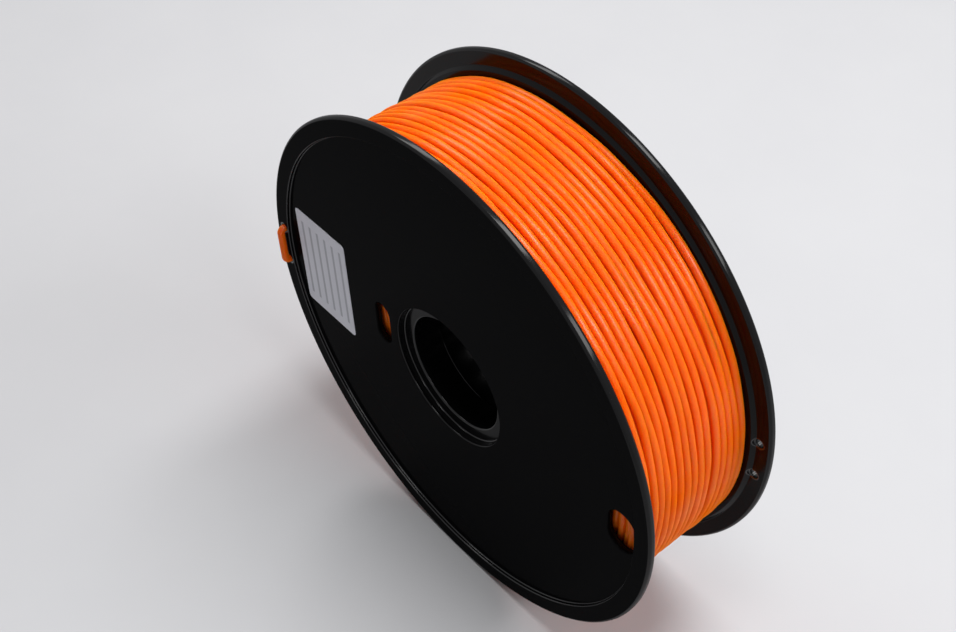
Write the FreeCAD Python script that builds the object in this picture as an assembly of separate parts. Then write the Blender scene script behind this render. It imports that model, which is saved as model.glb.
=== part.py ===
import FreeCAD, Part
import math
import os

from FreeCAD import Vector

# Spool of filament standing on its rims. The origin is the spool's centre, on its axis. The axis
# lies along Y, with the labelled flange at -Y. X runs through the slots of the flanges, +Z is up.
# All lengths are millimetres and all angles degrees. A depth is counted from a flange's outer
# plane inwards, and a radius from the axis.

# Flange disc
flange_radius = 100.0
spool_width = 57.5
rim_band_width = 7.2
rim_thickness = 2.9
rim_edge_round = 1.1
web_recess = 1.6
web_thickness = 2.6
step_round = 0.5

# Hub of each flange
bore_radius = 22.5
hub_ledge_depth = 4.9
hub_ledge_thickness = 2.0
hub_ledge_width = 5.1
hub_edge_round = 0.7
sleeve_wall = 2.0
sleeve_length = 12.0
collar_wall = 2.0
collar_length = 4.5
rib_count = 8
rib_thickness = 1.6

# Barrel between the flanges
barrel_clearance = 0.2
barrel_wall = 2.2

# Snap hooks of each flange and their windows in the barrel
hook_count = 4
hook_first_angle = 22.5
hook_width_angle = 18.0
hook_reach = 12.0
hook_nose_length = 3.2
hook_nose_height = 1.5
hook_nose_flat = 0.8
hook_clearance = 0.15

# Slots and holes of each flange
sight_slot_width = 12.0
sight_slot_length = 18.5
sight_slot_rim_gap = 0.8
start_slot_width = 8.0
start_slot_length = 19.0
start_slot_gap = 0.2
tie_hole_radius = 1.6
tie_hole_spacing = 16.0
tie_hole_edge_gap = 4.8
tie_hole_chamfer = 0.3

# Filament
filament_diameter = 2.85
winding_rim_gap = 8.3
winding_clearance = 0.1
strand_least_gap = 0.5
first_turn_clearance = 0.3
tied_bend_radius = 2.6
tied_loop_radius = 1.8
tied_end_length = 4.0

# Label
label_width = 30.0
label_height = 47.0
label_thickness = 0.2
label_step_gap = 6.3

# Places that follow from the sizes
step_radius = flange_radius - rim_band_width
web_inner_depth = web_recess + web_thickness
inner_step_radius = step_radius + web_inner_depth - rim_thickness
sleeve_outer_radius = bore_radius + sleeve_wall
hub_recess_radius = bore_radius + hub_ledge_width
collar_outer_radius = hub_recess_radius + collar_wall
collar_end_depth = web_inner_depth + collar_length
hook_end_depth = web_inner_depth + hook_reach
barrel_inner_radius = collar_outer_radius + barrel_clearance
barrel_radius = barrel_inner_radius + barrel_wall
barrel_length = spool_width - 2 * web_inner_depth
barrel_end = barrel_length / 2
hook_pitch_angle = 360.0 / hook_count
winding_radius = flange_radius - winding_rim_gap
winding_width = barrel_length - 2 * winding_clearance
outer_turn_count = int((winding_width - filament_diameter) / (filament_diameter + strand_least_gap))
label_centre_radius = step_radius - label_step_gap - label_width / 2
tie_hole_circle = flange_radius - tie_hole_edge_gap
tie_hole_x = -math.sqrt(tie_hole_circle ** 2 - (tie_hole_spacing / 2) ** 2)

axis_y = Vector(0, 1, 0)
centre = Vector(0, 0, 0)


def rounded_wire(corners):
    """Closed wire in the XY plane through corners (x, y, radius), each rounded by its radius."""
    count = len(corners)
    starts = []
    ends = []
    edges = []
    for index, (x, y, radius) in enumerate(corners):
        corner = Vector(x, y, 0)
        before = Vector(*corners[index - 1][:2], 0) - corner
        after = Vector(*corners[(index + 1) % count][:2], 0) - corner
        before.normalize()
        after.normalize()
        if radius == 0:
            starts.append(corner)
            ends.append(corner)
            continue
        half_angle = before.getAngle(after) / 2
        setback = radius / math.tan(half_angle)
        middle_way = before + after
        middle_way.normalize()
        middle = corner + middle_way * (radius / math.sin(half_angle) - radius)
        start = corner + before * setback
        end = corner + after * setback
        edges.append(Part.Arc(start, middle, end).toShape())
        starts.append(start)
        ends.append(end)
    for index in range(count):
        following = starts[(index + 1) % count]
        edges.append(Part.LineSegment(ends[index], following).toShape())
    return Part.Wire(Part.__sortEdges__(edges))


def obround(radial_width, length, radius, depth_from, depth_to):
    """Slot cutter through a flange at +X: radial_width across, length along Z, centred at radius."""
    half_straight = (length - radial_width) / 2
    low = depth_from - spool_width / 2
    height = depth_to - depth_from
    middle = Part.makeBox(radial_width, height, 2 * half_straight,
                          Vector(radius - radial_width / 2, low, -half_straight))
    for side in (-1, 1):
        end = Part.makeCylinder(radial_width / 2, height, Vector(radius, low, side * half_straight), axis_y)
        middle = middle.fuse(end)
    return middle.removeSplitter()


def sector(corners, angle, width_angle):
    """Profile of (radius, y) corners turned about the axis, centred on angle from +X towards +Z."""
    outline = [Vector(radius, y, 0) for radius, y in corners]
    face = Part.Face(Part.makePolygon(outline + outline[:1]))
    turned = face.revolve(centre, axis_y, width_angle)
    turned.rotate(centre, axis_y, -angle - width_angle / 2)
    return turned


def flange_disc():
    """Turned body of the near flange: rim band, web, hub recess, collar and bore sleeve."""
    corners = [
        (bore_radius, hub_ledge_depth, hub_edge_round),
        (hub_recess_radius, hub_ledge_depth, step_round),
        (hub_recess_radius, web_recess, hub_edge_round),
        (step_radius, web_recess, step_round),
        (step_radius, 0, step_round),
        (flange_radius, 0, rim_edge_round),
        (flange_radius, rim_thickness, rim_edge_round),
        (inner_step_radius, rim_thickness, step_round),
        (inner_step_radius - web_inner_depth + rim_thickness, web_inner_depth, 0),
        (collar_outer_radius, web_inner_depth, 0),
        (collar_outer_radius, collar_end_depth, 0),
        (hub_recess_radius, collar_end_depth, 0),
        (hub_recess_radius, hub_ledge_depth + hub_ledge_thickness, 0),
        (sleeve_outer_radius, hub_ledge_depth + hub_ledge_thickness, 0),
        (sleeve_outer_radius, hub_ledge_depth + sleeve_length, 0),
        (bore_radius, hub_ledge_depth + sleeve_length, 0),
    ]
    face = Part.Face(rounded_wire(corners))
    face.translate(Vector(0, -spool_width / 2, 0))
    return face.revolve(centre, axis_y, 360)


def hub_ribs():
    """Ribs that tie the bore sleeve to the collar under the ledge."""
    top = hub_ledge_depth + hub_ledge_thickness - spool_width / 2
    height = collar_end_depth - hub_ledge_depth - hub_ledge_thickness
    overlap = collar_wall / 2
    reach = hub_recess_radius - sleeve_outer_radius + 2 * overlap
    ribs = []
    for index in range(rib_count):
        rib = Part.makeBox(reach, height, rib_thickness,
                           Vector(sleeve_outer_radius - overlap, top, -rib_thickness / 2))
        rib.rotate(centre, axis_y, index * 360.0 / rib_count)
        ribs.append(rib)
    return ribs


def snap_hook(angle):
    """One spring finger that continues the collar, with a sloped nose that catches in a window."""
    low = collar_end_depth - spool_width / 2
    high = hook_end_depth - spool_width / 2
    nose_low = high - hook_nose_length
    nose_radius = collar_outer_radius + hook_nose_height
    return sector([
        (hub_recess_radius, low),
        (collar_outer_radius, low),
        (collar_outer_radius, nose_low),
        (nose_radius, nose_low),
        (nose_radius, nose_low + hook_nose_flat),
        (collar_outer_radius, high),
        (hub_recess_radius, high),
    ], angle, hook_width_angle)


def tie_hole(height):
    """Cutter of one small hole in the rim band at -X for the filament's end, chamfered on both faces."""
    front = Vector(tie_hole_x, -spool_width / 2, height)
    back = front + axis_y * rim_thickness
    wide = tie_hole_radius + tie_hole_chamfer
    hole = Part.makeCylinder(tie_hole_radius, rim_thickness, front, axis_y)
    front_cone = Part.makeCone(wide, tie_hole_radius, tie_hole_chamfer, front, axis_y)
    back_cone = Part.makeCone(tie_hole_radius, wide, tie_hole_chamfer, back - axis_y * tie_hole_chamfer, axis_y)
    clear = Part.makeCylinder(wide, web_inner_depth - rim_thickness, back, axis_y)
    return hole.fuse([front_cone, back_cone, clear])


def near_flange():
    """The labelled flange, a single moulding."""
    flange = flange_disc()
    additions = hub_ribs()
    for index in range(hook_count):
        additions.append(snap_hook(hook_first_angle + index * hook_pitch_angle))
    flange = flange.fuse(additions)
    sight_radius = step_radius - sight_slot_rim_gap - sight_slot_width / 2
    start_radius = barrel_radius + start_slot_gap + start_slot_width / 2
    cutters = [
        obround(sight_slot_width, sight_slot_length, sight_radius, 0, web_inner_depth),
        obround(start_slot_width, start_slot_length, -start_radius, 0, web_inner_depth),
        tie_hole(-tie_hole_spacing / 2),
        tie_hole(tie_hole_spacing / 2),
    ]
    return flange.cut(cutters).removeSplitter()


def core_barrel():
    """Tube that carries the winding, with a window for each hook."""
    barrel = Part.makeCylinder(barrel_radius, barrel_length, Vector(0, -barrel_end, 0), axis_y)
    barrel = barrel.cut(Part.makeCylinder(barrel_inner_radius, barrel_length, Vector(0, -barrel_end, 0), axis_y))
    window_low = hook_end_depth - hook_nose_length - hook_clearance - spool_width / 2
    window_high = hook_end_depth + hook_clearance - spool_width / 2
    play_angle = math.degrees(2 * hook_clearance / barrel_inner_radius)
    window_corners = [
        (bore_radius, window_low),
        (winding_radius, window_low),
        (winding_radius, window_high),
        (bore_radius, window_high),
    ]
    windows = []
    for index in range(hook_count):
        angle = hook_first_angle + index * hook_pitch_angle
        window = sector(window_corners, angle, hook_width_angle + play_angle)
        windows.append(window)
        windows.append(turned_over(window))
    return barrel.cut(windows)


def turned_over(shape):
    """A copy turned half a turn about Z, which puts a piece of the near side on the far side."""
    copy = shape.copy()
    copy.rotate(centre, Vector(0, 0, 1), 180)
    return copy


def inner_layers():
    """All the filament under the outer layer, as one closed ring."""
    outer = winding_radius - filament_diameter - winding_clearance
    inner = barrel_radius + winding_clearance
    low = Vector(0, -winding_width / 2, 0)
    ring = Part.makeCylinder(outer, winding_width, low, axis_y)
    return ring.cut(Part.makeCylinder(inner, winding_width, low, axis_y))


def helix_point(turn, radius, pitch, start, start_angle):
    """Point and direction of the winding's centre line after some turns."""
    angle = start_angle + 2 * math.pi * turn
    climb = pitch / (2 * math.pi)
    point = Vector(radius * math.cos(angle), start + pitch * turn, radius * math.sin(angle))
    direction = Vector(-radius * math.sin(angle), climb, radius * math.cos(angle))
    direction.normalize()
    return point, direction


def arc_through(start, direction, end):
    """Circular arc that leaves start along direction and reaches end."""
    chord = end - start
    across = chord.cross(direction).cross(chord)
    across.normalize()
    bend = chord.getAngle(direction) / 2
    middle = (start + end) * 0.5 + across * (chord.Length / 2 * math.tan(bend))
    return Part.Arc(start, middle, end).toShape()


def biarc(start, start_way, end, end_way):
    """Two arcs that join start to end and keep both directions."""
    chord = end - start
    ways = start_way + end_way
    bend = 2 * (1 - start_way.dot(end_way))
    along = chord.dot(ways)
    reach = (math.sqrt(along ** 2 + bend * chord.dot(chord)) - along) / bend
    meeting = ((start + start_way * reach) + (end - end_way * reach)) * 0.5
    back = arc_through(end, end_way * -1, meeting)
    return [arc_through(start, start_way, meeting), back]


def rounded_path(corners):
    """Edges through 3-D corners (point, radius), each inner corner rounded by its radius."""
    edges = []
    start = corners[0][0]
    for (before, _), (corner, radius), (after, _) in zip(corners, corners[1:], corners[2:]):
        back = (before - corner).normalize()
        ahead = (after - corner).normalize()
        half_angle = back.getAngle(ahead) / 2
        setback = radius / math.tan(half_angle)
        middle = corner + (back + ahead).normalize() * (radius / math.sin(half_angle) - radius)
        arc_start = corner + back * setback
        arc_end = corner + ahead * setback
        edges.append(Part.LineSegment(start, arc_start).toShape())
        edges.append(Part.Arc(arc_start, middle, arc_end).toShape())
        start = arc_end
    edges.append(Part.LineSegment(start, corners[-1][0]).toShape())
    return edges


def tied_end(first_point, first_way, radius):
    """Edges of the free end: in and out of the flange by the two small holes, then to the first turn."""
    reach = math.sqrt(tie_hole_circle ** 2 - radius ** 2) / math.hypot(first_way.x, first_way.z)
    inner_corner = first_point - first_way * reach
    height = tie_hole_spacing / 2
    loop_y = -spool_width / 2 - tied_loop_radius
    end_y = rim_thickness + tied_end_length - spool_width / 2
    return rounded_path([
        (Vector(tie_hole_x, end_y, height), 0),
        (Vector(tie_hole_x, loop_y, height), tied_loop_radius),
        (Vector(tie_hole_x, loop_y, -height), tied_loop_radius),
        (inner_corner, tied_bend_radius),
        (first_point, 0),
    ])


def outer_turns():
    """The outer layer of turns, one unbroken tube from the tied end to a straight stretch."""
    radius = winding_radius - filament_diameter / 2
    start = (filament_diameter - winding_width) / 2 + first_turn_clearance
    pitch = -2 * start / outer_turn_count
    leave_angle = math.acos(radius / tie_hole_circle) + math.asin(tie_hole_spacing / 2 / tie_hole_circle)
    start_angle = math.pi + leave_angle
    points = [helix_point(index / 4, radius, pitch, start, start_angle)
              for index in range(4 * outer_turn_count + 1)]
    last_point, last_way = points[-1]
    edges = tied_end(*points[0], radius)
    first_end = edges[0].Vertexes[0].Point
    for (point, way), (next_point, next_way) in zip(points, points[1:]):
        edges.extend(biarc(point, way, next_point, next_way))
    last_end = last_point + last_way * filament_diameter
    edges.append(Part.LineSegment(last_point, last_end).toShape())
    path = Part.Wire(edges)
    section = Part.Wire(Part.Circle(first_end, axis_y, filament_diameter / 2).toShape())
    sweep = Part.BRepOffsetAPI.MakePipeShell(path)
    sweep.add(section)
    sweep.build()
    sweep.makeSolid()
    tube = sweep.shape()
    ideal = math.pi * filament_diameter ** 2 / 4 * path.Length
    print("outer turns: length", round(path.Length, 1), "volume / ideal", round(tube.Volume / ideal, 4))
    print("outer turns: least gap to itself", round(least_gap(points), 3))
    return tube


def least_gap(points):
    """Least distance between neighbouring turns, less one diameter."""
    least = math.inf
    for index in range(len(points) - 4):
        for other in range(index + 3, min(index + 6, len(points))):
            least = min(least, points[index][0].distanceToPoint(points[other][0]))
    return least - filament_diameter


def label():
    """Paper sticker on the near flange's web."""
    outer = -spool_width / 2 + web_recess - label_thickness
    corner = Vector(-label_centre_radius - label_width / 2, outer, -label_height / 2)
    return Part.makeBox(label_width, label_thickness, label_height, corner)


def build():
    os.makedirs("parts", exist_ok=True)
    near = near_flange()
    pieces = {
        "near_flange": near,
        "far_flange": turned_over(near),
        "core_barrel": core_barrel(),
        "filament_inner_layers": inner_layers(),
        "filament_outer_turns": outer_turns(),
        "label": label(),
    }
    for name, shape in pieces.items():
        shape.exportStep("parts/" + name + ".step")
        print(name, "solids", len(shape.Solids), "valid", shape.isValid(), "volume", round(shape.Volume, 1))


build()
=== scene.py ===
import math

import bpy
from mathutils import Matrix, Vector


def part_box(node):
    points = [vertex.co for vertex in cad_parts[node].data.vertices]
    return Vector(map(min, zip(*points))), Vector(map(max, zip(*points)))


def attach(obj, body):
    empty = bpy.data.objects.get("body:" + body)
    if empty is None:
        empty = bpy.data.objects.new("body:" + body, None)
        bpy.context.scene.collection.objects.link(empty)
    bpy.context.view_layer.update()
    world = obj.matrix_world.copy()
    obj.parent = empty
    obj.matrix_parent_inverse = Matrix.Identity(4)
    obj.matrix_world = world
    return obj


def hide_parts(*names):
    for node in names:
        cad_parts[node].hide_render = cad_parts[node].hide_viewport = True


# Filament spool standing on its rims. Metres, axis along Y, label side at -Y, +Z up.
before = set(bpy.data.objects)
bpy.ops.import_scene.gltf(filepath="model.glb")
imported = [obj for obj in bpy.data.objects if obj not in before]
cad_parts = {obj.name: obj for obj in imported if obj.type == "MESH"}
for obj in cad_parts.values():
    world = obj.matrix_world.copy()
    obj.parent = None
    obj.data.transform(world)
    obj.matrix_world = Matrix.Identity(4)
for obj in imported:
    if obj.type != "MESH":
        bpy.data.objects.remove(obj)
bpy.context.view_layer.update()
scene = bpy.context.scene
mm = 0.001

nearLow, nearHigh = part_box("near_flange")
labelLow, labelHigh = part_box("label")
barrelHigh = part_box("core_barrel")[1]
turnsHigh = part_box("filament_outer_turns")[1]
flangeRadius = nearHigh.x
spoolHalfWidth = -nearLow.y
gapHalfWidth = barrelHigh.y  # from the middle to a flange's inner face
barrelRadius = barrelHigh.x
windingRadius = turnsHigh.z
print("frame loaded:", len(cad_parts), "nodes")


def linear(red, green, blue):
    # a screen colour from 0 to 255 as the shaders' linear colour
    def curve(value):
        value = value / 255
        return value / 12.92 if value <= 0.04045 else ((value + 0.055) / 1.055) ** 2.4
    return curve(red), curve(green), curve(blue), 1.0


class Wire:
    # an output of a node; arithmetic on it adds the Math nodes that it needs
    def __init__(self, net, socket):
        self.net = net
        self.socket = socket

    def other(self, name):
        # another output of the same node
        return Wire(self.net, self.socket.node.outputs[name])

    def __add__(self, value):
        return self.net.maths("ADD", self, value)

    def __sub__(self, value):
        return self.net.maths("SUBTRACT", self, value)

    def __rsub__(self, value):
        return self.net.maths("SUBTRACT", value, self)

    def __mul__(self, value):
        return self.net.maths("MULTIPLY", self, value)

    def __truediv__(self, value):
        return self.net.maths("DIVIDE", self, value)

    def __abs__(self):
        return self.net.maths("ABSOLUTE", self)

    __radd__ = __add__
    __rmul__ = __mul__


class Net:
    # a node tree; add() makes any node from its type, its sockets' values and its settings
    def __init__(self, tree):
        self.tree = tree

    def add(self, kind, values=None, output=0, **settings):
        node = self.tree.nodes.new(kind)
        for name, value in settings.items():
            setattr(node, name, value)
        for key, value in (values or {}).items():
            if isinstance(value, Wire):
                self.tree.links.new(value.socket, node.inputs[key])
            else:
                node.inputs[key].default_value = value
        return Wire(self, node.outputs[output]) if node.outputs else None

    def maths(self, operation, *values, clamp=False):
        return self.add("ShaderNodeMath", dict(enumerate(values)),
                        operation=operation, use_clamp=clamp)

    def blend(self, mask, first, second):
        # colours, by a mask from 0 to 1
        return self.add("ShaderNodeMix", {0: mask, 6: first, 7: second},
                        output=2, data_type="RGBA")

    def length(self, vector):
        return self.add("ShaderNodeVectorMath", {0: vector}, output="Value", operation="LENGTH")

    def noise(self, place, scale, detail, rough=0.5):
        return self.add("ShaderNodeTexNoise",
                        {"Vector": place, "Scale": scale, "Detail": detail, "Roughness": rough})

    def bump(self, height, distance, normal=None):
        values = {"Height": height, "Distance": distance, "Strength": 1.0}
        if normal:
            values["Normal"] = normal
        return self.add("ShaderNodeBump", values)


def newMaterial(name):
    material = bpy.data.materials.new(name)
    material.use_nodes = True
    net = Net(material.node_tree)
    surface = material.node_tree.nodes["Principled BSDF"]
    return material, net, surface


def dress(net, surface, values):
    # values and wires onto the shader's own sockets
    for name, value in values.items():
        if isinstance(value, Wire):
            net.tree.links.new(value.socket, surface.inputs[name])
        else:
            surface.inputs[name].default_value = value


# Openings of a flange. The gloss of its plastic follows the small holes too.
openings = {
    "sightWidth": 12.0 * mm,
    "sightLength": 18.5 * mm,
    "sightRimGap": 0.8 * mm,
    "startWidth": 8.0 * mm,
    "startLength": 19.0 * mm,
    "startGap": 0.2 * mm,
    "slotEdgeRound": 0.45 * mm,
    "tieHoleRadius": 1.6 * mm,
    "tieHoleSpacing": 16.0 * mm,
    "tieHoleEdgeGap": 4.8 * mm,
    "tieHoleEdgeRound": 0.5 * mm,
    "arcSteps": 20,
    "edgeSteps": 4,
    "beyond": 1.0 * mm,  # how far a cutter stands out of the plastic
}

tieHoleCircle = flangeRadius - openings["tieHoleEdgeGap"]
tieHoleHeight = openings["tieHoleSpacing"] / 2
tieHoleX = -math.sqrt(tieHoleCircle ** 2 - tieHoleHeight ** 2)


# Materials. A noise is its scale, its detail and, where given, its roughness.
blackLook = {
    "colour": linear(9, 9, 10),
    "roughness": 0.3,
    "roughnessSpread": 0.16,
    "smearNoise": (38.0, 4.0, 0.62),
    "specular": 0.0,
    "faceGloss": 0.05,
    "innerGloss": 0.28,  # of the faces towards the winding
    "innerDepth": 1.6 * mm,  # how far that gloss reaches into the plastic
    # rounds that are smoother than the faces: radius, half width, gloss, share on the inner side
    "edges": [
        (100.0 * mm, 1.0 * mm, 0.4, 1.0),
        (92.8 * mm, 0.35 * mm, 1.0, 0.0),
        (27.5 * mm, 0.5 * mm, 0.45, 1.0),
        (22.6 * mm, 0.6 * mm, 0.4, 1.0),
    ],
    "edgeSoft": 0.3 * mm,
    "holeEdge": 0.9 * mm,  # how far the gloss of a small hole's mouth reaches
    "glossShare": 1.0,
    "glossRoughness": 0.14,
    "glossIndex": 1.5,
    "rippleNoise": (90.0, 1.0),
    "rippleHeight": 0.02 * mm,
    "grainNoise": (3200.0, 2.0),
    "grainHeight": 0.004 * mm,
    "dustColour": linear(84, 84, 86),
    "dustScale": 520.0,  # specks across a metre
    "dustSize": 0.09,
    "dustSharpness": 40.0,
    "dustNoise": (24.0, 3.0),  # where it has settled
    "dustShow": 0.5,
    "dustRoughness": 0.3,
}
barrelLook = {**blackLook, "roughness": 0.55, "glossShare": 0.5}


def blackPlastic(name, look):
    material, net, surface = newMaterial(name)
    place = net.add("ShaderNodeTexCoord", output="Object")
    outwards = net.add("ShaderNodeSeparateXYZ", {"Vector": place}, output="Y")

    speck = net.add("ShaderNodeTexVoronoi", {"Vector": place, "Scale": look["dustScale"]})
    settled = net.noise(place, *look["dustNoise"])
    dust = net.maths("MULTIPLY", look["dustSize"] * settled - speck, look["dustSharpness"],
                     clamp=True)

    spoke = net.add("ShaderNodeVectorMath", {0: place, 1: (1, 0, 1)}, operation="MULTIPLY")
    radius = net.length(spoke)
    soft = look["edgeSoft"]
    inner = net.maths("DIVIDE", gapHalfWidth + look["innerDepth"] - abs(outwards), soft,
                      clamp=True)
    gloss = look["faceGloss"] + inner * (look["innerGloss"] - look["faceGloss"])
    for edgeRadius, halfWidth, edgeGloss, innerShare in look["edges"]:
        near = net.maths("DIVIDE", halfWidth - abs(radius - edgeRadius), soft, clamp=True)
        shown = 1 - inner * (1 - innerShare)
        gloss = gloss + near * shown * (edgeGloss - look["faceGloss"])

    # the small holes are at -X in the near flange and at +X in the far one
    sideX = outwards.other("X") * net.maths("SIGN", outwards)
    offHole = net.length(net.add("ShaderNodeCombineXYZ", {
        "X": sideX + tieHoleX, "Z": abs(outwards.other("Z")) - tieHoleHeight}))
    reach = openings["tieHoleRadius"] + look["holeEdge"] - offHole
    gloss = gloss + net.maths("DIVIDE", reach, soft, clamp=True)

    smear = (net.noise(place, *look["smearNoise"]) - 0.5) * look["roughnessSpread"]
    ripple = net.bump(net.noise(place, *look["rippleNoise"]), look["rippleHeight"])
    grain = net.noise(place, *look["grainNoise"])
    dress(net, surface, {
        "Base Color": net.blend(dust * look["dustShow"], look["colour"], look["dustColour"]),
        "Roughness": look["roughness"] + smear + dust * look["dustRoughness"],
        "Normal": net.bump(grain, look["grainHeight"], normal=ripple),
        "Specular IOR Level": look["specular"],
        "Coat Weight": gloss * look["glossShare"],
        "Coat Roughness": look["glossRoughness"],
        "Coat IOR": look["glossIndex"],
    })
    return material


filamentLook = {
    "colour": linear(251, 98, 8),
    "deepColour": linear(248, 86, 4),
    "paleColour": linear(252, 110, 14),
    "cloudNoise": (60.0, 2.0),
    "streakScale": 26.0,  # along the strand
    "streakDetail": 2.0,
    "roughness": 0.5,
    "specular": 0.0,
    "gloss": 0.13,
    "glossSpread": 3.6,
    "glossMiddle": 0.65,
    "patchNoise": (55.0, 2.0),
    "scuffNoise": (900.0, 3.0),
    "scuffShare": 0.3,
    "glossRoughness": 0.3,
    "glossIndex": 2.2,
    "subsurface": 0.85,
    "subsurfaceRadius": (1.0, 0.62, 0.16),
    "subsurfaceScale": 4.4 * mm,
    "grainNoise": (1500.0, 2.0),
    "grainHeight": 0.003 * mm,
}


def filamentPlastic(look):
    material, net, surface = newMaterial("filamentPlastic")
    place = net.add("ShaderNodeTexCoord", output="Object")
    along = net.add("ShaderNodeAttribute", output="Fac", attribute_name="alongStrand")
    streak = net.add("ShaderNodeTexNoise", {
        "W": along, "Scale": look["streakScale"], "Detail": look["streakDetail"]},
        noise_dimensions="1D")
    tone = net.blend(streak, look["deepColour"], look["paleColour"])
    patch = net.noise(place, *look["patchNoise"])
    scuff = net.noise(place, *look["scuffNoise"]) * look["scuffShare"]
    uneven = 1 + (patch + scuff - look["glossMiddle"]) * look["glossSpread"]
    dress(net, surface, {
        "Base Color": net.blend(net.noise(place, *look["cloudNoise"]), look["colour"], tone),
        "Roughness": look["roughness"],
        "Specular IOR Level": look["specular"],
        "Coat Weight": net.maths("MAXIMUM", look["gloss"] * uneven, 0.0),
        "Coat Roughness": look["glossRoughness"],
        "Coat IOR": look["glossIndex"],
        "Normal": net.bump(net.noise(place, *look["grainNoise"]), look["grainHeight"]),
        "Subsurface Weight": look["subsurface"],
        "Subsurface Radius": look["subsurfaceRadius"],
        "Subsurface Scale": look["subsurfaceScale"],
    })
    return material


labelLook = {
    "paper": linear(226, 226, 234),
    "paperShade": linear(214, 214, 224),
    "ink": linear(158, 158, 168),
    "inkStrength": 0.8,
    "lineSpacing": 4.6 * mm,
    "lineWidth": 1.5 * mm,
    "lineSoft": 0.2 * mm,
    "sideMargin": 3.6 * mm,
    "endMargin": 5.0 * mm,
    "roughness": 0.42,
    "roughnessSpread": 0.2,
    "specular": 0.4,
    "fibreNoise": (700.0, 4.0, 0.65),
    "fibreHeight": 0.01 * mm,
}


def labelPaper(look):
    material, net, surface = newMaterial("labelPaper")
    place = net.add("ShaderNodeTexCoord", output="Object")
    across = net.add("ShaderNodeSeparateXYZ", {"Vector": place}, output="X")
    upwards = across.other("Z")
    middle = (labelLow.x + labelHigh.x) / 2
    halfWidth = (labelHigh.x - labelLow.x) / 2 - look["sideMargin"]
    halfHeight = (labelHigh.z - labelLow.z) / 2 - look["endMargin"]
    spacing = look["lineSpacing"]
    sharpness = 1 / look["lineSoft"]
    # distance to the nearest of the ruled lines, which run along the label
    shifted = across - (middle - halfWidth - spacing / 2)
    nearest = abs(net.maths("FLOORED_MODULO", shifted, spacing) - spacing / 2)
    line = net.maths("MULTIPLY", look["lineWidth"] / 2 - nearest, sharpness, clamp=True)
    inside = net.maths("LESS_THAN", abs(across - middle), halfWidth + look["lineWidth"])
    reach = net.maths("MULTIPLY", halfHeight - abs(upwards), sharpness, clamp=True)
    ruled = line * inside * reach * look["inkStrength"]
    fibre = net.noise(place, *look["fibreNoise"])
    paper = net.blend(fibre, look["paperShade"], look["paper"])
    dress(net, surface, {
        "Base Color": net.blend(ruled, paper, look["ink"]),
        "Roughness": look["roughness"] + (fibre - 0.5) * look["roughnessSpread"],
        "Normal": net.bump(fibre, look["fibreHeight"]),
        "Specular IOR Level": look["specular"],
    })
    return material


floorLook = {
    "colour": linear(203, 203, 205),
    "spread": linear(195, 195, 198),
    "cloudNoise": (9.0, 5.0, 0.6),
    "roughness": 0.7,
    "specular": 0.2,
    "horizon": linear(212, 212, 214),
    "horizonFrom": 0.45,  # where the floor starts to fade into the horizon's colour
    "horizonReach": 0.7,
}


def seenRays(net):
    # 1 for the rays that show a surface straight, in a gloss or through glass
    ray = net.add("ShaderNodeLightPath", output="Is Camera Ray")
    straight = net.maths("MAXIMUM", ray, ray.other("Is Glossy Ray"))
    return net.maths("MAXIMUM", straight, ray.other("Is Transmission Ray"))


def floorPaint(look):
    material, net, surface = newMaterial("floorPaint")
    place = net.add("ShaderNodeTexCoord", output="Object")
    cloud = net.noise(place, *look["cloudNoise"])
    dress(net, surface, {
        "Base Color": net.blend(cloud, look["spread"], look["colour"]),
        "Roughness": look["roughness"],
        "Specular IOR Level": look["specular"],
    })
    away = net.length(place) - look["horizonFrom"]
    fade = net.maths("DIVIDE", away, look["horizonReach"], clamp=True)
    horizon = net.add("ShaderNodeEmission", {"Color": look["horizon"]})
    mixed = net.add("ShaderNodeMixShader", {
        0: fade * seenRays(net), 1: Wire(net, surface.outputs[0]), 2: horizon})
    dress(net, material.node_tree.nodes["Material Output"], {"Surface": mixed})
    return material


flangeMaterial = blackPlastic("flangePlastic", blackLook)
barrelMaterial = blackPlastic("barrelPlastic", barrelLook)
filamentMaterial = filamentPlastic(filamentLook)
labelMaterial = labelPaper(labelLook)
print("materials made")


# Shared ways of making a piece.
def newObject(name, mesh, material=None):
    piece = bpy.data.objects.new(name, mesh)
    scene.collection.objects.link(piece)
    if material:
        mesh.materials.clear()
        mesh.materials.append(material)
    return piece


def evaluatedMesh(piece):
    # the piece's mesh with its modifiers applied
    depsgraph = bpy.context.evaluated_depsgraph_get()
    return bpy.data.meshes.new_from_object(piece.evaluated_get(depsgraph))


def applyModifiers(piece):
    mesh = evaluatedMesh(piece)
    piece.modifiers.clear()
    piece.data = mesh
    return piece


def cornerRound(before, corner, after, radius):
    # start, end and centre of the arc that rounds a corner between two neighbours
    before = (before - corner).normalized()
    after = (after - corner).normalized()
    halfAngle = before.angle(after) / 2
    start = corner + before * (radius / math.tan(halfAngle))
    end = corner + after * (radius / math.tan(halfAngle))
    centre = corner + (before + after).normalized() * (radius / math.sin(halfAngle))
    return start, end, centre


def roundedOutline(corners, steps):
    # a closed outline; corners are (x, y, radius), and each round becomes an arc of some steps
    points = [Vector((x, y)) for x, y, radius in corners]
    outline = []
    for number, corner in enumerate(points):
        radius = corners[number][2]
        if not radius:
            outline.append(corner)
            continue
        following = points[(number + 1) % len(points)]
        start, end, centre = cornerRound(points[number - 1], corner, following, radius)
        for step in range(steps + 1):
            spoke = (start - centre).lerp(end - centre, step / steps)
            outline.append(centre + spoke.normalized() * radius)
    return outline


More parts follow.
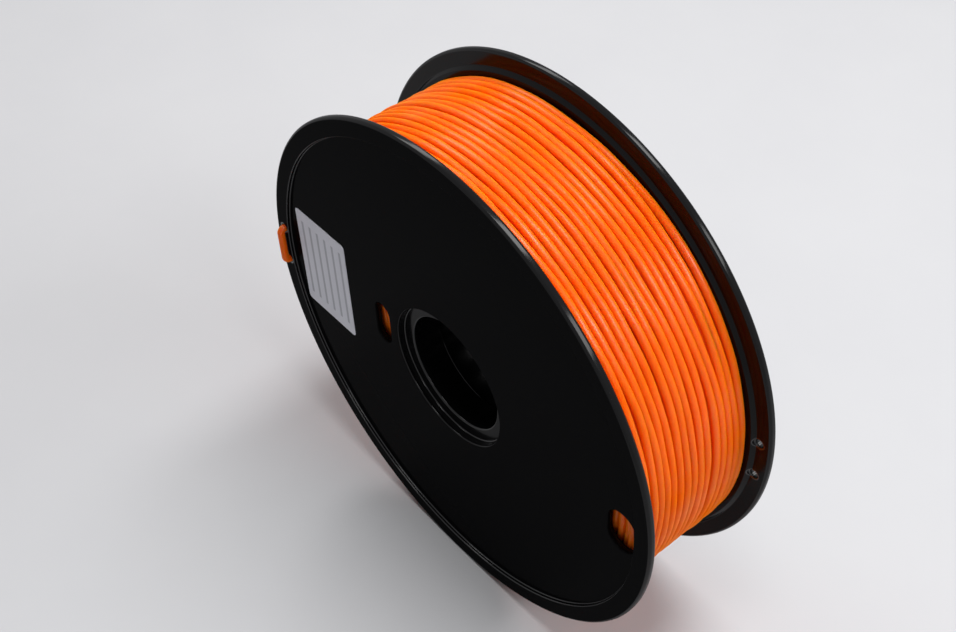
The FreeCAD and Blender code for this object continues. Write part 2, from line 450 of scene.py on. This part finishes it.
def roundedPath(corners, steps):
    # an open path through corners (point, radius), each inner corner rounded by its radius
    points = [point for point, radius in corners]
    path = [points[0]]
    for number in range(1, len(points) - 1):
        radius = corners[number][1]
        start, end, centre = cornerRound(*points[number - 1:number + 2], radius)
        first, last = (start - centre).normalized(), (end - centre).normalized()
        path += [centre + first.slerp(last, step / steps) * radius for step in range(steps + 1)]
    path.append(points[-1])
    return path


def turnedMesh(name, outline, segments):
    # a closed outline of (radius, y) turned about the Y axis
    rows = len(outline)
    points = []
    for segment in range(segments):
        angle = math.tau * segment / segments
        points += [(p.x * math.cos(angle), p.y, p.x * math.sin(angle)) for p in outline]
    faces = []
    for segment in range(segments):
        first = segment * rows
        second = (segment + 1) % segments * rows
        for row in range(rows):
            above = (row + 1) % rows
            faces.append((first + row, first + above, second + above, second + row))
    mesh = bpy.data.meshes.new(name)
    mesh.from_pydata(points, [], faces)
    return mesh


def stackedMesh(name, rings):
    # closed skin over rings of points that lie one above another
    count = len(rings[0])
    top = (len(rings) - 1) * count
    faces = [tuple(range(count)), tuple(reversed(range(top, top + count)))]
    for low in range(0, top, count):
        high = low + count
        for number in range(count):
            following = (number + 1) % count
            faces.append((low + number, high + number, high + following, low + following))
    mesh = bpy.data.meshes.new(name)
    mesh.from_pydata([point for ring in rings for point in ring], [], faces)
    return mesh


def signedVolume(mesh):
    total = 0.0
    mesh.calc_loop_triangles()
    for triangle in mesh.loop_triangles:
        a, b, c = (mesh.vertices[number].co for number in triangle.vertices)
        total += a.dot(b.cross(c)) / 6
    return total


def facedOutwards(mesh):
    if signedVolume(mesh) < 0:
        mesh.flip_normals()
    return mesh


def combine(target, meshes, operation):
    # joins closed meshes to a piece or cuts them out of it, all at once
    joined = bpy.data.objects.new("operand", bpy.data.meshes.new("operand"))
    points, faces = [], []
    for mesh in meshes:
        first = len(points)
        points += [tuple(vertex.co) for vertex in mesh.vertices]
        faces += [tuple(first + number for number in face.vertices) for face in mesh.polygons]
    joined.data.from_pydata(points, [], faces)
    scene.collection.objects.link(joined)
    modifier = target.modifiers.new("combine", "BOOLEAN")
    modifier.operation = operation
    modifier.solver = "EXACT"
    modifier.object = joined
    applyModifiers(target)
    bpy.data.objects.remove(joined)


def newGeometryTree(name, inputs):
    tree = bpy.data.node_groups.new(name, "GeometryNodeTree")
    for title, kind, value in inputs:
        socket = tree.interface.new_socket(title, in_out="INPUT", socket_type="NodeSocket" + kind)
        if value is not None:
            socket.default_value = value
    tree.interface.new_socket("Geometry", in_out="OUTPUT", socket_type="NodeSocketGeometry")
    net = Net(tree)
    group = tree.nodes.new("NodeGroupInput")
    return net, {title: Wire(net, group.outputs[title]) for title, kind, value in inputs}


def closeTree(net, geometry, material):
    whole = net.add("GeometryNodeRealizeInstances", {"Geometry": geometry})
    painted = net.add("GeometryNodeSetMaterial", {"Geometry": whole, "Material": material})
    net.add("NodeGroupOutput", {"Geometry": painted})
    return net.tree


def grow(name, tree, values, source=None):
    # a plain mesh object from a geometry tree with its inputs set
    carrier = newObject(name + "Carrier", source or bpy.data.meshes.new(name))
    modifier = carrier.modifiers.new("grow", "NODES")
    modifier.node_group = tree
    for item in tree.interface.items_tree:
        if item.in_out == "INPUT" and item.name in values:
            modifier[item.identifier] = values[item.name]
    mesh = evaluatedMesh(carrier)
    bpy.data.objects.remove(carrier)
    mesh.name = name
    return newObject(name, mesh)


# Flanges. Both are one moulding, and a depth is counted inwards from its outer plane.
flange = {
    "rimBandWidth": 7.2 * mm,
    "rimThickness": 2.9 * mm,
    "rimEdgeRound": 1.1 * mm,
    "webRecess": 1.6 * mm,
    "webThickness": 2.6 * mm,
    "stepRound": 0.5 * mm,
    "boreRadius": 22.5 * mm,
    "hubLedgeDepth": 4.9 * mm,
    "hubLedgeThickness": 2.0 * mm,
    "hubLedgeWidth": 5.1 * mm,
    "hubEdgeRound": 0.7 * mm,
    "sleeveWall": 2.0 * mm,
    "sleeveLength": 12.0 * mm,
    "collarWall": 2.0 * mm,
    "collarLength": 4.5 * mm,
    "smallRound": 0.35 * mm,
    "segments": 240,
    "arcSteps": 5,
    "sharpAngle": 40.0,  # degrees between faces from which their edge shows sharp
}
stepRadius = flangeRadius - flange["rimBandWidth"]
webInnerDepth = flange["webRecess"] + flange["webThickness"]
hubRecessRadius = flange["boreRadius"] + flange["hubLedgeWidth"]
sleeveOuterRadius = flange["boreRadius"] + flange["sleeveWall"]
collarOuterRadius = hubRecessRadius + flange["collarWall"]
ledgeUnderDepth = flange["hubLedgeDepth"] + flange["hubLedgeThickness"]
collarEndDepth = webInnerDepth + flange["collarLength"]


def flangeOutline(sizes):
    innerStepRadius = stepRadius + webInnerDepth - sizes["rimThickness"]
    sleeveEnd = sizes["hubLedgeDepth"] + sizes["sleeveLength"]
    small = sizes["smallRound"]
    corners = [
        (sizes["boreRadius"], sizes["hubLedgeDepth"], sizes["hubEdgeRound"]),
        (hubRecessRadius, sizes["hubLedgeDepth"], sizes["stepRound"]),
        (hubRecessRadius, sizes["webRecess"], sizes["hubEdgeRound"]),
        (stepRadius, sizes["webRecess"], sizes["stepRound"]),
        (stepRadius, 0, sizes["stepRound"]),
        (flangeRadius, 0, sizes["rimEdgeRound"]),
        (flangeRadius, sizes["rimThickness"], sizes["rimEdgeRound"]),
        (innerStepRadius, sizes["rimThickness"], sizes["stepRound"]),
        (stepRadius, webInnerDepth, small),
        (collarOuterRadius, webInnerDepth, small),
        (collarOuterRadius, collarEndDepth, small),
        (hubRecessRadius, collarEndDepth, small),
        (hubRecessRadius, ledgeUnderDepth, 0),
        (sleeveOuterRadius, ledgeUnderDepth, 0),
        (sleeveOuterRadius, sleeveEnd, small),
        (sizes["boreRadius"], sleeveEnd, small),
    ]
    placed = [(radius, depth - spoolHalfWidth, rounding) for radius, depth, rounding in corners]
    return roundedOutline(placed, sizes["arcSteps"])


def aroundAxisTree():
    # copies of a mesh, evenly spaced about the Y axis
    net, given = newGeometryTree("aroundAxis", [
        ("Geometry In", "Geometry", None),
        ("Count", "Int", 4),
        ("First Angle", "Float", 0.0),
        ("Material", "Material", None),
    ])
    spots = net.add("GeometryNodeMeshLine", {"Count": given["Count"], "Offset": (0, 0, 0)})
    index = net.add("GeometryNodeInputIndex")
    angle = index * math.tau / given["Count"] + given["First Angle"]
    turn = net.add("ShaderNodeCombineXYZ", {"Y": 0 - angle})
    copies = net.add("GeometryNodeInstanceOnPoints", {
        "Points": spots, "Instance": given["Geometry In"], "Rotation": turn})
    return closeTree(net, copies, given["Material"])


# Ribs and hooks round each flange's hub. Angles are degrees.
hub = {
    "ribCount": 8,
    "ribThickness": 1.6 * mm,
    "hookCount": 4,
    "hookFirstAngle": 22.5,
    "hookWidthAngle": 18.0,
    "hookReach": 12.0 * mm,
    "hookNoseLength": 3.2 * mm,
    "hookNoseHeight": 1.5 * mm,
    "hookNoseFlat": 0.8 * mm,
    "hookSteps": 8,
    "weld": 0.6 * mm,  # how far a rib or hook reaches into the wall that carries it
    "inset": 0.03 * mm,
}


def ribMesh(sizes):
    half = sizes["ribThickness"] / 2
    low = ledgeUnderDepth - sizes["weld"] - spoolHalfWidth
    high = collarEndDepth - sizes["inset"] - spoolHalfWidth
    inner = sleeveOuterRadius - sizes["weld"]
    outer = hubRecessRadius + sizes["weld"]
    square = [(inner, -half), (outer, -half), (outer, half), (inner, half)]
    return facedOutwards(stackedMesh("rib", [[(x, y, z) for x, z in square] for y in (low, high)]))


def hookMesh(sizes):
    inner = hubRecessRadius + sizes["inset"]
    outer = collarOuterRadius - sizes["inset"]
    low = collarEndDepth - sizes["weld"] - spoolHalfWidth
    high = webInnerDepth + sizes["hookReach"] - spoolHalfWidth
    noseLow = high - sizes["hookNoseLength"]
    noseRadius = outer + sizes["hookNoseHeight"]
    section = [(inner, low), (outer, low), (outer, noseLow), (noseRadius, noseLow),
               (noseRadius, noseLow + sizes["hookNoseFlat"]), (outer, high), (inner, high)]
    width = math.radians(sizes["hookWidthAngle"])
    rings = []
    for step in range(sizes["hookSteps"] + 1):
        angle = width * (step / sizes["hookSteps"] - 0.5)
        rings.append([(r * math.cos(angle), y, r * math.sin(angle)) for r, y in section])
    return facedOutwards(stackedMesh("hook", rings))


def cutterLevels(front, back, edge, sizes):
    # (y, growth) of a cutter's rings; it flares at both faces, so that the edges come out round
    levels = [(front - sizes["beyond"], edge)]
    for step in range(sizes["edgeSteps"] + 1):
        angle = math.pi / 2 * (1 + step / sizes["edgeSteps"])
        levels.append((front + edge * (1 - math.sin(angle)), edge * (1 + math.cos(angle))))
    return levels + [(front + back - y, growth) for y, growth in reversed(levels)]


def obroundRing(centreX, radius, straight, y, steps):
    # outline of a slot that lies along Z: two half circles that are twice straight apart
    ring = []
    for side, start in ((1, 0), (-1, math.pi)):
        for step in range(steps + 1):
            angle = start + math.pi * step / steps
            ring.append((centreX + radius * math.cos(angle), y,
                         side * straight + radius * math.sin(angle)))
    return ring


def slotCutter(centreX, width, length, sizes):
    front = flange["webRecess"] - spoolHalfWidth
    back = webInnerDepth - spoolHalfWidth
    straight = (length - width) / 2
    rings = [obroundRing(centreX, width / 2 + growth, straight, y, sizes["arcSteps"])
             for y, growth in cutterLevels(front, back, sizes["slotEdgeRound"], sizes)]
    return facedOutwards(stackedMesh("slotCutter", rings))


def tieHoleCutter(centreZ, sizes):
    # its far end also clears the slope inside the rim band
    front = -spoolHalfWidth
    back = flange["rimThickness"] - spoolHalfWidth
    count = 2 * sizes["arcSteps"]
    angles = [math.tau * step / count for step in range(count)]
    rings = []
    for y, growth in cutterLevels(front, back, sizes["tieHoleEdgeRound"], sizes):
        radius = sizes["tieHoleRadius"] + growth
        rings.append([(tieHoleX + radius * math.cos(angle), y, centreZ + radius * math.sin(angle))
                      for angle in angles])
    return facedOutwards(stackedMesh("tieHoleCutter", rings))


def flangeCutters(sizes):
    sightRadius = stepRadius - sizes["sightRimGap"] - sizes["sightWidth"] / 2
    startRadius = barrelRadius + sizes["startGap"] + sizes["startWidth"] / 2
    return [
        slotCutter(sightRadius, sizes["sightWidth"], sizes["sightLength"], sizes),
        slotCutter(-startRadius, sizes["startWidth"], sizes["startLength"], sizes),
        tieHoleCutter(-tieHoleHeight, sizes),
        tieHoleCutter(tieHoleHeight, sizes),
    ]


def smoothShaded(piece, angle):
    piece.data.shade_smooth()
    piece.data.set_sharp_from_angle(angle=math.radians(angle))
    weighted = piece.modifiers.new("weighted", "WEIGHTED_NORMAL")
    weighted.keep_sharp = True
    return applyModifiers(piece)


def makeNearFlange():
    disc = facedOutwards(turnedMesh("nearFlange", flangeOutline(flange), flange["segments"]))
    piece = newObject("nearFlangeShell", disc)
    tree = aroundAxisTree()
    ribs = grow("ribs", tree, {"Count": hub["ribCount"]}, ribMesh(hub))
    hooks = grow("hooks", tree, {
        "Count": hub["hookCount"],
        "First Angle": math.radians(hub["hookFirstAngle"]),
    }, hookMesh(hub))
    combine(piece, [ribs.data, hooks.data], "UNION")
    bpy.data.objects.remove(ribs)
    bpy.data.objects.remove(hooks)
    combine(piece, flangeCutters(openings), "DIFFERENCE")
    smoothShaded(piece, flange["sharpAngle"])
    piece.data.materials.clear()
    piece.data.materials.append(flangeMaterial)
    return piece


nearFlange = makeNearFlange()
farMesh = nearFlange.data.copy()
farMesh.transform(Matrix.Rotation(math.pi, 4, "Z"))
farFlange = newObject("farFlangeShell", farMesh, flangeMaterial)
print("flanges made:", len(nearFlange.data.polygons), "faces each")


# Winding: its two outer layers. Angles are degrees about the axis, from +X towards +Z.
winding = {
    "strandDiameter": 2.85 * mm,
    "strands": 16,
    "pointsPerTurn": 144,
    "sides": 16,
    "crossing": 0.2,  # share of a turn in which a strand moves over to its next place
    "edgeGap": 0.1 * mm,
    "underSink": 2.45 * mm,  # how much lower the next layer lies
    "evenGap": 0.015,
    "looseness": 0.7,
    "gapNoise": (1.6, 7.3),  # its reach round the axis, and its step from turn to turn
    "gapFrom": 0.42,
    "sideWander": 2.3 * mm,
    "sideNoise": (2.6, 21.0),  # its reach round the axis, and its shift of the seed
    "radialWander": 1.7 * mm,
    "radialNoise": (2.4, 9.0),
    "radialMiddle": 0.68,
    "turnStep": 2.3,  # how far both wanders change from turn to turn
    "settling": 12.0,  # how soon the first turn starts to wander
    "lastRise": (44.0, 1.3 * mm, 15.0),  # where the last turn stands up: angle, height, length
    "seed": 4.0,
    "underSeed": 54.0,
    # where two neighbours part: the gap's number, angle, weight, length
    "partings": [
        (0, 30, 0.5, 12), (1, 70, 0.5, 14), (2, 84, 1.0, 20), (3, 50, 0.5, 11),
        (4, 103, 0.6, 8), (5, 53, 0.8, 13), (6, 70, 0.9, 17), (6, 28, 0.5, 12),
        (7, 98, 0.9, 15), (8, 65, 0.6, 9), (9, 93, 0.8, 10), (9, 51, 0.8, 11),
        (10, -8, 1.4, 11), (10, 22, 0.5, 12), (11, 57, 1.0, 15), (12, 80, 1.2, 22),
        (14, 79, 0.7, 16), (3, 122, 0.5, 12), (11, 118, 0.4, 12), (8, 2, 0.3, 14),
    ],
}


def tubeAlong(net, given, path):
    section = net.add("GeometryNodeCurvePrimitiveCircle", {
        "Resolution": given["Sides"], "Radius": given["Strand Diameter"] / 2})
    tube = net.add("GeometryNodeCurveToMesh", {
        "Curve": path, "Profile Curve": section, "Fill Caps": True})
    smooth = net.add("GeometryNodeSetShadeSmooth", {"Geometry": tube})
    return closeTree(net, smooth, given["Material"])


def strandTree(net, given, place, radius, angle, along):
    # ends a tree with a strand about the Y axis, whose points follow from their number
    line = net.add("GeometryNodeCurvePrimitiveLine", {"End": (1, 0, 0)})
    count = given["Turns"] * given["Points per Turn"]
    row = net.add("GeometryNodeResampleCurve", {"Curve": line, "Count": count})
    spot = net.add("ShaderNodeCombineXYZ", {
        "X": net.maths("COSINE", angle) * radius,
        "Y": place,
        "Z": net.maths("SINE", angle) * radius,
    })
    path = net.add("GeometryNodeSetPosition", {"Geometry": row, "Position": spot})
    marked = net.add("GeometryNodeStoreNamedAttribute", {
        "Geometry": path, "Name": "alongStrand", "Value": along})
    return tubeAlong(net, given, marked)


def roundNoise(net, angle, reach, height, seed):
    # a noise read along a circle, so that it closes after a turn
    spot = net.add("ShaderNodeCombineXYZ", {
        "X": net.maths("COSINE", angle) * reach,
        "Y": net.maths("SINE", angle) * reach,
        "Z": height,
    })
    return net.add("ShaderNodeTexNoise", {
        "Vector": spot, "W": seed, "Scale": 1.0, "Detail": 1.0}, noise_dimensions="4D")


def nearAngle(net, angle, middle, length):
    # 1 at the middle, fading away over the length to both sides
    offAngle = net.maths("COSINE", angle - math.radians(middle))
    return net.maths("EXPONENT", (offAngle - 1) * (1 / math.radians(length) ** 2))


def layerTree(values):
    # one layer of strands side by side; the spare room goes into gaps between them
    net, given = newGeometryTree("layer", [
        ("Turns", "Float", 10.0),
        ("Points per Turn", "Int", 120),
        ("Start Angle", "Float", 0.0),
        ("Way Round", "Float", 1.0),
        ("Radius", "Float", 0.05),
        ("Edge", "Float", 0.02),
        ("Strand Diameter", "Float", 0.002),
        ("Sides", "Int", 12),
        ("Crossing", "Float", 0.2),
        ("Even Gap", "Float", 0.1),
        ("Looseness", "Float", 1.0),
        ("Opening", "Float", 1.0),
        ("Side Wander", "Float", 0.0),
        ("Radial Wander", "Float", 0.0),
        ("Last Dip", "Float", 0.0),
        ("Seed", "Float", 0.0),
        ("Material", "Material", None),
    ])
    index = net.add("GeometryNodeInputIndex")
    whole = net.maths("FLOOR", (index + 0.5) / given["Points per Turn"])
    spoke = index - whole * given["Points per Turn"]
    share = spoke / given["Points per Turn"]
    angle = given["Start Angle"] + share * math.tau * given["Way Round"]
    last = net.maths("ROUND", given["Turns"] - 1)
    ending = net.maths("GREATER_THAN", whole, last - 0.5)
    crossed = net.maths("DIVIDE", share - 1 + given["Crossing"], given["Crossing"], clamp=True)
    crossed = crossed * crossed * (3 - 2 * crossed)

    # gap to the next strand: a little everywhere, some by chance, most where neighbours part
    reach, step = values["gapNoise"]
    chance = roundNoise(net, angle, reach, whole * step, given["Seed"])
    gap = net.maths("MAXIMUM", chance - values["gapFrom"], 0.0) * given["Looseness"]
    for number, middle, weight, length in values["partings"]:
        mine = net.maths("COMPARE", whole, float(number), 0.1)
        near = nearAngle(net, angle, middle, length)
        gap = gap + near * mine * (weight * given["Opening"])
    inside = net.maths("LESS_THAN", whole, last - 0.5)
    gap = (gap + given["Even Gap"]) * inside
    before = net.add("GeometryNodeAccumulateField", {"Value": gap, "Group ID": spoke},
                     output="Trailing")
    spareShare = (before + crossed * gap) / before.other("Total")
    spare = 2 * given["Edge"] - last * given["Strand Diameter"]
    beside = net.maths("MINIMUM", whole + crossed, last) * given["Strand Diameter"]
    place = beside + spareShare * spare - given["Edge"]

    # each turn's own wander, which starts from nothing at the tied end
    settled = net.maths("MULTIPLY", whole + share, values["settling"], clamp=True)
    turn = (whole + crossed) * values["turnStep"]
    reach, shift = values["sideNoise"]
    sideways = roundNoise(net, angle, reach, turn, given["Seed"] + shift)
    place = place + (sideways - 0.5) * given["Side Wander"] * settled
    place = net.maths("MAXIMUM", net.maths("MINIMUM", place, given["Edge"]), 0 - given["Edge"])
    reach, shift = values["radialNoise"]
    rise = roundNoise(net, angle, reach, turn, given["Seed"] + shift) - values["radialMiddle"]
    radius = given["Radius"] + rise * settled * given["Radial Wander"]
    radius = radius - crossed * ending * given["Last Dip"]
    riseAngle, riseHeight, riseLength = values["lastRise"]
    standing = nearAngle(net, angle, riseAngle, riseLength) * ending
    radius = radius + standing * (given["Opening"] * riseHeight)

    along = (whole + share) * given["Radius"] * math.tau
    return strandTree(net, given, place, radius, angle, along)


strandRadius = winding["strandDiameter"] / 2
edgePlace = gapHalfWidth - winding["edgeGap"] - strandRadius
topRadius = windingRadius - strandRadius
underRadius = topRadius - winding["underSink"]
# the first turn starts where a straight line from it meets the lower tie hole
startAngle = (math.pi + math.acos(topRadius / tieHoleCircle)
              + math.asin(tieHoleHeight / tieHoleCircle))


def windLayer(name, tree, values):
    return grow(name, tree, {
        "Points per Turn": winding["pointsPerTurn"],
        "Turns": float(winding["strands"]),
        "Sides": winding["sides"],
        "Start Angle": startAngle,
        "Edge": edgePlace,
        "Strand Diameter": winding["strandDiameter"],
        "Crossing": winding["crossing"],
        "Even Gap": winding["evenGap"],
        "Looseness": winding["looseness"],
        "Material": filamentMaterial,
        **values,
    })


layer = layerTree(winding)
outerStrand = windLayer("outerStrand", layer, {
    "Radius": topRadius,
    "Side Wander": winding["sideWander"],
    "Radial Wander": winding["radialWander"],
    "Last Dip": winding["underSink"],
    "Seed": winding["seed"],
})
underStrand = windLayer("underStrand", layer, {
    "Radius": underRadius,
    "Way Round": -1.0,
    "Opening": 0.0,
    "Seed": winding["underSeed"],
})

# The free end of the filament, tied through the two small holes of the near flange.
tied = {
    "bendRadius": 2.6 * mm,
    "loopRadius": 1.8 * mm,
    "endLength": 4.0 * mm,
    "bendSteps": 14,
    "overlap": 1.5 * mm,  # how far it runs into the first turn
}


def tubeTree():
    # a tube along the edges of a mesh
    net, given = newGeometryTree("tube", [
        ("Geometry In", "Geometry", None),
        ("Strand Diameter", "Float", 0.002),
        ("Sides", "Int", 12),
        ("Material", "Material", None),
    ])
    path = net.add("GeometryNodeMeshToCurve", {"Mesh": given["Geometry In"]})
    return tubeAlong(net, given, path)


def tieEnd(sizes):
    # out by the upper hole, in by the lower one and on to the first turn
    first = Vector((topRadius * math.cos(startAngle), -edgePlace,
                    topRadius * math.sin(startAngle)))
    along = Vector((-math.sin(startAngle), 0, math.cos(startAngle)))
    outside = -spoolHalfWidth - sizes["loopRadius"]
    inside = flange["rimThickness"] + sizes["endLength"] - spoolHalfWidth
    path = roundedPath([
        (Vector((tieHoleX, inside, tieHoleHeight)), 0),
        (Vector((tieHoleX, outside, tieHoleHeight)), sizes["loopRadius"]),
        (Vector((tieHoleX, outside, -tieHoleHeight)), sizes["loopRadius"]),
        (Vector((tieHoleX, -edgePlace, -tieHoleHeight)), sizes["bendRadius"]),
        (first + along * sizes["overlap"], 0),
    ], sizes["bendSteps"])
    line = bpy.data.meshes.new("tiedEnd")
    line.from_pydata(path, [(number, number + 1) for number in range(len(path) - 1)], [])
    return grow("tiedEnd", tubeTree(), {
        "Strand Diameter": winding["strandDiameter"],
        "Sides": winding["sides"],
        "Material": filamentMaterial,
    }, line)


tiedEnd = tieEnd(tied)

# Strands that lie against the flanges and show through their slots.
flank = {
    "sides": 10,
    "pointsPerTurn": 120,
    "inset": 0.45 * mm,
    "pitch": 2.9 * mm,
    "sideWander": 1.1 * mm,
    "sideNoise": (5.3, 0.0),  # its steps to a turn, and its shift of the seed
    "radialWander": 0.3 * mm,
    "radialNoise": (4.1, 31.0),
    "nearSeed": 11.0,
    "farSeed": 23.0,
}


def spiralTree(values):
    # one strand from a first to a last radius in one plane
    net, given = newGeometryTree("spiral", [
        ("Turns", "Float", 10.0),
        ("Points per Turn", "Int", 120),
        ("First Radius", "Float", 0.05),
        ("Last Radius", "Float", 0.05),
        ("Place", "Float", 0.0),
        ("Strand Diameter", "Float", 0.002),
        ("Sides", "Int", 12),
        ("Side Wander", "Float", 0.0),
        ("Radial Wander", "Float", 0.0),
        ("Seed", "Float", 0.0),
        ("Material", "Material", None),
    ])
    turn = net.add("GeometryNodeInputIndex") / given["Points per Turn"]

    def lineNoise(scale, shift):
        spot = turn * scale + given["Seed"] + shift
        return net.add("ShaderNodeTexNoise", {"W": spot, "Scale": 1.0, "Detail": 1.0},
                       noise_dimensions="1D") - 0.5

    growth = given["Last Radius"] - given["First Radius"]
    place = given["Place"] + lineNoise(*values["sideNoise"]) * given["Side Wander"]
    radius = given["First Radius"] + growth * turn / given["Turns"]
    radius = radius + lineNoise(*values["radialNoise"]) * given["Radial Wander"]
    along = turn * given["First Radius"] * math.tau
    return strandTree(net, given, place, radius, turn * math.tau, along)


def windFlank(name, tree, side, seed):
    first = barrelRadius + strandRadius
    return grow(name, tree, {
        "Turns": (underRadius - first) / flank["pitch"],
        "Points per Turn": flank["pointsPerTurn"],
        "Sides": flank["sides"],
        "Strand Diameter": winding["strandDiameter"],
        "First Radius": first,
        "Last Radius": underRadius,
        "Place": side * (edgePlace - flank["inset"]),
        "Side Wander": flank["sideWander"],
        "Radial Wander": flank["radialWander"],
        "Seed": seed,
        "Material": filamentMaterial,
    })


spiral = spiralTree(flank)
nearFlank = windFlank("nearFlankStrand", spiral, -1, flank["nearSeed"])
farFlank = windFlank("farFlankStrand", spiral, 1, flank["farSeed"])

# What fills the winding behind the strands.
core = {
    "sink": strandRadius / 2,  # how far it lies below the middles of the strands
    "segments": 180,
}


def makeCore(sizes):
    width = edgePlace - sizes["sink"]
    inner = barrelRadius + winding["edgeGap"]
    outer = underRadius - sizes["sink"]
    outline = [Vector(corner) for corner in (
        (inner, -width), (outer, -width), (outer, width), (inner, width))]
    mesh = facedOutwards(turnedMesh("woundCore", outline, sizes["segments"]))
    return newObject("woundCore", mesh, filamentMaterial)


woundCore = makeCore(core)
strands = (outerStrand, underStrand, tiedEnd, nearFlank, farFlank)
print("winding made:", sum(len(strand.data.polygons) for strand in strands), "faces of strands")


# Sticker on the near flange.
label = {"cornerRound": 1.6 * mm, "edgeRound": 0.05 * mm, "arcSteps": 6}


def makeLabel(sizes):
    edge = sizes["edgeRound"]
    rings = []
    for y, inset in ((labelHigh.y, 0), (labelLow.y + edge, 0), (labelLow.y, edge)):
        left, right = labelLow.x + inset, labelHigh.x - inset
        low, high = labelLow.z + inset, labelHigh.z - inset
        corners = [(left, low), (right, low), (right, high), (left, high)]
        outline = roundedOutline([(x, z, sizes["cornerRound"]) for x, z in corners],
                                 sizes["arcSteps"])
        rings.append([(p.x, y, p.y) for p in outline])
    return newObject("paperLabel", facedOutwards(stackedMesh("paperLabel", rings)), labelMaterial)


paperLabel = makeLabel(label)
print("label made")


# The barrel keeps its CAD mesh. The other pieces stand for the CAD nodes that they name.
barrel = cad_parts["core_barrel"]
barrel.data.materials.clear()
barrel.data.materials.append(barrelMaterial)

for piece, nodes, slot in (
    (nearFlange, ["near_flange"], "flange_plastic"),
    (farFlange, ["far_flange"], "flange_plastic"),
    (outerStrand, ["filament_outer_turns"], "filament"),
    (underStrand, ["filament_inner_layers"], "filament"),
    (tiedEnd, [], "filament"),
    (nearFlank, [], "filament"),
    (farFlank, [], "filament"),
    (woundCore, [], "filament"),
    (paperLabel, ["label"], "label_paper"),
):
    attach(piece, "root")
    if nodes:
        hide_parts(*nodes)


# Floor, light and camera.
floor = {"size": 6.0}
floorMesh = bpy.data.meshes.new("floor")
half = floor["size"] / 2
floorMesh.from_pydata(
    [(x, y, nearLow.z) for x, y in ((-half, -half), (half, -half), (half, half), (-half, half))],
    [], [(0, 1, 2, 3)])
newObject("floor", floorMesh, floorPaint(floorLook))

# Strip lamps that lie along Y and face the axis.
lamps = {
    "y": 0.25,
    "length": 0.95,
    "width": 0.3,
    # name, angle about the axis in degrees from +X towards +Z, distance, power
    "each": [
        ("overheadLamp", 84, 1.1, 10.3),
        ("rightLamp", 42, 1.1, 7.4),
        ("leftLamp", 134, 1.15, 6.3),
    ],
}


def makeLamps(values):
    for name, degrees, distance, power in values["each"]:
        light = bpy.data.lights.new(name, "AREA")
        light.shape = "RECTANGLE"
        light.size = values["length"]
        light.size_y = values["width"]
        light.energy = power
        holder = bpy.data.objects.new(name, light)
        angle = math.radians(degrees)
        away = Vector((math.cos(angle), 0, math.sin(angle)))
        holder.location = away * distance + Vector((0, values["y"], 0))
        holder.rotation_euler = away.to_track_quat("Z", "Y").to_euler()
        scene.collection.objects.link(holder)


makeLamps(lamps)

studio = {"light": 0.12, "horizon": floorLook["horizon"]}


def makeWorld(values):
    # weak even light; the eye and the glosses see the horizon's colour
    world = bpy.data.worlds.new("studio")
    world.use_nodes = True
    net = Net(world.node_tree)
    even = world.node_tree.nodes["Background"]
    dress(net, even, {"Color": (1, 1, 1, 1), "Strength": values["light"]})
    seen = net.add("ShaderNodeBackground", {"Color": values["horizon"], "Strength": 1.0})
    mixed = net.add("ShaderNodeMixShader", {
        0: seenRays(net), 1: Wire(net, even.outputs[0]), 2: seen})
    dress(net, world.node_tree.nodes["World Output"], {"Surface": mixed})
    scene.world = world


makeWorld(studio)
scene.view_settings.view_transform = "Standard"

# Angles are degrees; the lens and its clipping are in millimetres and metres.
view = {
    "eye": (0.25227, -0.21149, 0.35707),
    "azimuth": 51.655,
    "elevation": 46.262,
    "roll": -2.835,
    "lens": 51.27,
    "clipStart": 0.01,
}


def makeCamera(values):
    azimuth, elevation, roll = (
        math.radians(values[key]) for key in ("azimuth", "elevation", "roll"))
    back = Vector((math.sin(azimuth) * math.cos(elevation),
                   -math.cos(azimuth) * math.cos(elevation), math.sin(elevation)))
    level = Vector((math.cos(azimuth), math.sin(azimuth), 0))
    right = level * math.cos(roll) + back.cross(level) * math.sin(roll)
    turned = Matrix((right, back.cross(right), back)).transposed().to_4x4()
    camera = bpy.data.objects.new("camera", bpy.data.cameras.new("camera"))
    camera.data.lens = values["lens"]
    camera.data.clip_start = values["clipStart"]
    camera.matrix_world = Matrix.Translation(values["eye"]) @ turned
    scene.collection.objects.link(camera)
    scene.camera = camera


makeCamera(view)
print("stage, lamps and camera made")
